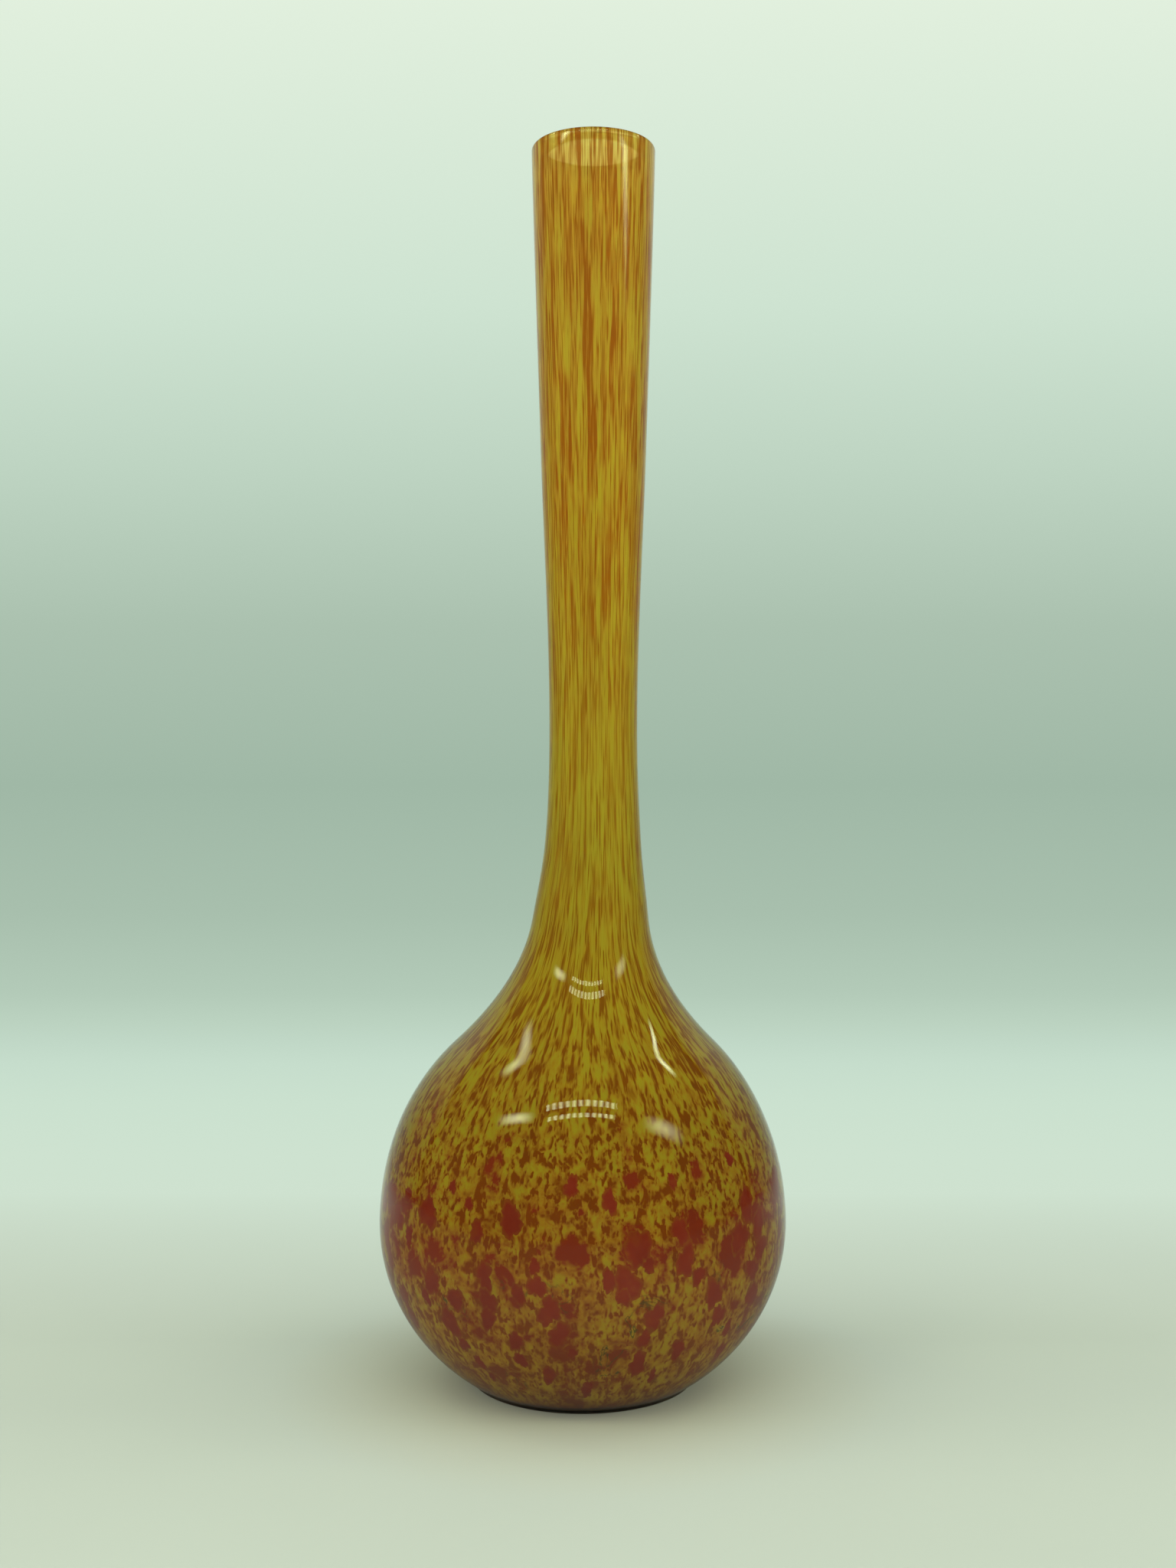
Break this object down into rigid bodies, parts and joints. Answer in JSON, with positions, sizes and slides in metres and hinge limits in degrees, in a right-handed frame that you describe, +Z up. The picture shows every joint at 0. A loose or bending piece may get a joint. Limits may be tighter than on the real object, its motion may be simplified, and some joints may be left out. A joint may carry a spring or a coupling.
{
  "type": "bottle vase",
  "caption": "Hand-blown bottle vase of cased glass: a round bulb under a long slender neck, yellow with red chips under a clear casing.",
  "frame": {"origin": "on the vase's axis, on the plane that the foot ring stands on", "axes": "+Z up along the axis, from the foot to the lip; X and Y are alike, because the vase is turned about Z"},
  "size_m": [0.1314, 0.1314, 0.4],
  "materials": {
    "clear_casing": "glossy, fire-polished",
    "yellow_glass": "streaky, seen through the clear casing",
    "red_glass": "blotched, seen through the clear casing",
    "clear_gather": "glossy, as blown"
  },
  "bodies": {
    "root": {"outer_casing": "clear_casing", "yellow_coat": "yellow_glass", "red_chips": "red_glass", "inner_gather": "clear_gather"}
  },
  "joints": []
}
